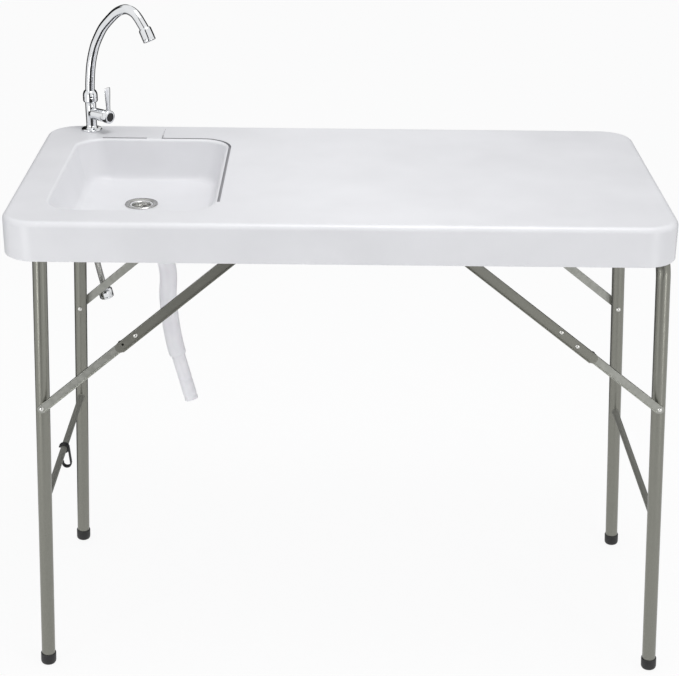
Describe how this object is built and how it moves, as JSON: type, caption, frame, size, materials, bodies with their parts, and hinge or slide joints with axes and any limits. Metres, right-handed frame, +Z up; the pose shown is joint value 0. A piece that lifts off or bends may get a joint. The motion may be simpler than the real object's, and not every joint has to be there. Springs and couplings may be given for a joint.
{
  "type": "folding camping table with sink",
  "caption": "White moulded folding camping table with a sink basin, chrome swan-neck faucet, drain and supply hoses, and folding leg frames of grey coated steel.",
  "frame": {"origin": "the middle of the whole stand at floor level, under the feet", "axes": "+X along the table's length toward the end away from the sink, +Y toward the back edge with the faucet, +Z up from the floor to the worktop"},
  "size_m": [1.1918, 0.59, 1.1729],
  "materials": {
    "moulding": "fine moulded texture, satin",
    "coated_steel": "warm grey powder coat",
    "bright_steel": "satin sheet steel",
    "chrome": "polished",
    "black_plastic": "matte moulded",
    "hose_plastic": "semi-gloss white",
    "hose_braid": "woven steel braid",
    "rubber": "matte"
  },
  "bodies": {
    "table": {"tabletop": "moulding", "left_hinge_strap_front": "coated_steel", "left_hinge_strap_back": "coated_steel", "right_hinge_strap_front": "coated_steel", "right_hinge_strap_back": "coated_steel", "left_front_brace_bracket": "coated_steel", "left_back_brace_bracket": "coated_steel", "right_front_brace_bracket": "coated_steel", "right_back_brace_bracket": "coated_steel", "faucet_flange": "chrome", "faucet_body": "chrome", "faucet_shank": "bright_steel", "faucet_locknut": "bright_steel", "supply_top_ferrule": "chrome", "supply_hose": "hose_braid", "supply_end_ferrule": "chrome", "drain_strainer": "bright_steel", "drain_body": "hose_plastic", "drain_gasket": "rubber", "drain_locknut": "hose_plastic", "drain_hose": "hose_plastic", "drain_cuff": "hose_plastic"},
    "spout": {"faucet_collar": "chrome", "faucet_spout": "chrome", "faucet_nozzle": "chrome"},
    "lever": {"faucet_lever": "chrome", "faucet_lever_cap": "black_plastic"},
    "connector": {"supply_connector": "chrome"},
    "left_leg": {"left_leg_frame": "coated_steel", "left_crossbar": "coated_steel", "left_foot_front": "black_plastic", "left_foot_back": "black_plastic", "leg_clip": "black_plastic"},
    "right_leg": {"right_leg_frame": "coated_steel", "right_crossbar": "coated_steel", "right_foot_front": "black_plastic", "right_foot_back": "black_plastic"},
    "left_front_upper": {"left_front_upper_link": "coated_steel", "left_front_knuckle_rivet": "bright_steel"},
    "left_front_lower": {"left_front_lower_link": "bright_steel", "left_front_leg_rivet": "bright_steel"},
    "left_back_upper": {"left_back_upper_link": "coated_steel", "left_back_knuckle_rivet": "bright_steel"},
    "left_back_lower": {"left_back_lower_link": "bright_steel", "left_back_leg_rivet": "bright_steel"},
    "right_front_upper": {"right_front_upper_link": "coated_steel", "right_front_knuckle_rivet": "bright_steel"},
    "right_front_lower": {"right_front_lower_link": "bright_steel", "right_front_leg_rivet": "bright_steel"},
    "right_back_upper": {"right_back_upper_link": "coated_steel", "right_back_knuckle_rivet": "bright_steel"},
    "right_back_lower": {"right_back_lower_link": "bright_steel", "right_back_leg_rivet": "bright_steel"}
  },
  "joints": [
    {"name": "left_leg_fold", "type": "hinge", "parent": "table", "child": "left_leg", "pos_m": [-0.53661, 0, 0.8691], "axis": [0, -1, 0], "range_deg": [0, 92.28]},
    {"name": "right_leg_fold", "type": "hinge", "parent": "table", "child": "right_leg", "pos_m": [0.53639, 0, 0.8401], "axis": [0, 1, 0], "range_deg": [0, 93.07]},
    {"name": "left_front_upper_turn", "type": "hinge", "parent": "table", "child": "left_front_upper", "pos_m": [-0.16801, -0.253, 0.8691], "axis": [0, -1, 0], "range_deg": [-41, 1]},
    {"name": "left_back_upper_turn", "type": "hinge", "parent": "table", "child": "left_back_upper", "pos_m": [-0.16801, 0.253, 0.8691], "axis": [0, -1, 0], "range_deg": [-41, 1]},
    {"name": "right_front_upper_turn", "type": "hinge", "parent": "table", "child": "right_front_upper", "pos_m": [0.19459, -0.253, 0.8401], "axis": [0, 1, 0], "range_deg": [-39, 1]},
    {"name": "right_back_upper_turn", "type": "hinge", "parent": "table", "child": "right_back_upper", "pos_m": [0.19459, 0.253, 0.8401], "axis": [0, 1, 0], "range_deg": [-39, 1]},
    {"name": "left_front_knuckle_turn", "type": "hinge", "parent": "left_front_upper", "child": "left_front_lower", "pos_m": [-0.3761, -0.249, 0.69297], "axis": [0, -1, 0], "range_deg": [-1, 181]},
    {"name": "left_back_knuckle_turn", "type": "hinge", "parent": "left_back_upper", "child": "left_back_lower", "pos_m": [-0.3761, 0.249, 0.69297], "axis": [0, -1, 0], "range_deg": [-1, 181]},
    {"name": "right_front_knuckle_turn", "type": "hinge", "parent": "right_front_upper", "child": "right_front_lower", "pos_m": [0.39587, -0.249, 0.6804], "axis": [0, 1, 0], "range_deg": [-1, 181]},
    {"name": "right_back_knuckle_turn", "type": "hinge", "parent": "right_back_upper", "child": "right_back_lower", "pos_m": [0.39587, 0.249, 0.6804], "axis": [0, 1, 0], "range_deg": [-1, 181]},
    {"name": "spout_swivel", "type": "hinge", "parent": "table", "child": "spout", "pos_m": [-0.51221, 0.2605, 0.98], "axis": [0, 0, 1], "range_deg": [-150, 150]},
    {"name": "lever_turn", "type": "hinge", "parent": "table", "child": "lever", "pos_m": [-0.47415, 0.23076, 0.9485], "axis": [0.788, -0.6157, 0], "range_deg": [0, 90]},
    {"name": "connector_swivel", "type": "hinge", "parent": "table", "child": "connector", "pos_m": [-0.50448, 0.27242, 0.57225], "axis": [0.2012, 0.0769, -0.9765], "continuous": true}
  ],
  "couplings": [
    {"joint": "left_front_upper_turn", "follows": "left_leg_fold", "ratio": -0.43609},
    {"joint": "left_back_upper_turn", "follows": "left_leg_fold", "ratio": -0.43609},
    {"joint": "left_front_knuckle_turn", "follows": "left_leg_fold", "ratio": 1.9505},
    {"joint": "left_back_knuckle_turn", "follows": "left_leg_fold", "ratio": 1.9505},
    {"joint": "right_front_upper_turn", "follows": "right_leg_fold", "ratio": -0.41288},
    {"joint": "right_back_upper_turn", "follows": "right_leg_fold", "ratio": -0.41288},
    {"joint": "right_front_knuckle_turn", "follows": "right_leg_fold", "ratio": 1.9338},
    {"joint": "right_back_knuckle_turn", "follows": "right_leg_fold", "ratio": 1.9338}
  ]
}
